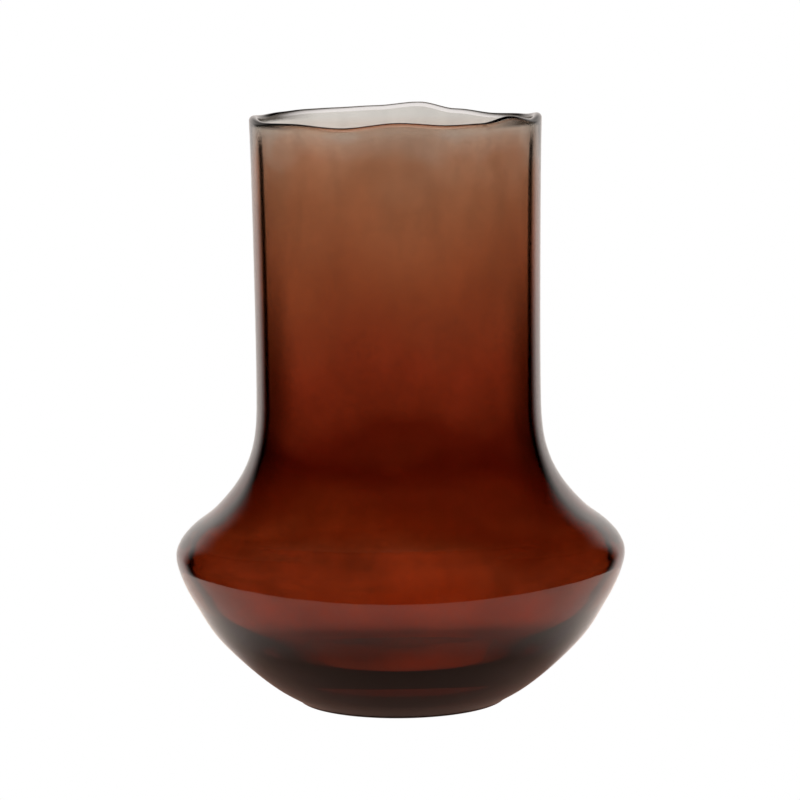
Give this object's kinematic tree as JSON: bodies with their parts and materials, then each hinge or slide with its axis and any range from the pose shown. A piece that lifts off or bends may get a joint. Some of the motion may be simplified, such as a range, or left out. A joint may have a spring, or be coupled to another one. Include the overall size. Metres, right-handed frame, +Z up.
{
  "type": "glass vase",
  "caption": "Round-bowled mouth-blown glass vase with a wide straight neck, wavy lip and thick base, lined with ombre brown glass.",
  "frame": {"origin": "centre of the foot, on the surface the vase stands on", "axes": "+Z up along the axis the vase was blown about; -Y is the side seen from the front"},
  "size_m": [0.18, 0.18, 0.2371],
  "materials": {
    "smoke_glass": "polished clear glass with a faint smoke-grey tint",
    "brown_glass": "cloudy translucent red-brown glass, fading to clear below the lip"
  },
  "bodies": {
    "root": {"glass_vessel": "smoke_glass", "colour_layer": "brown_glass"}
  },
  "joints": []
}
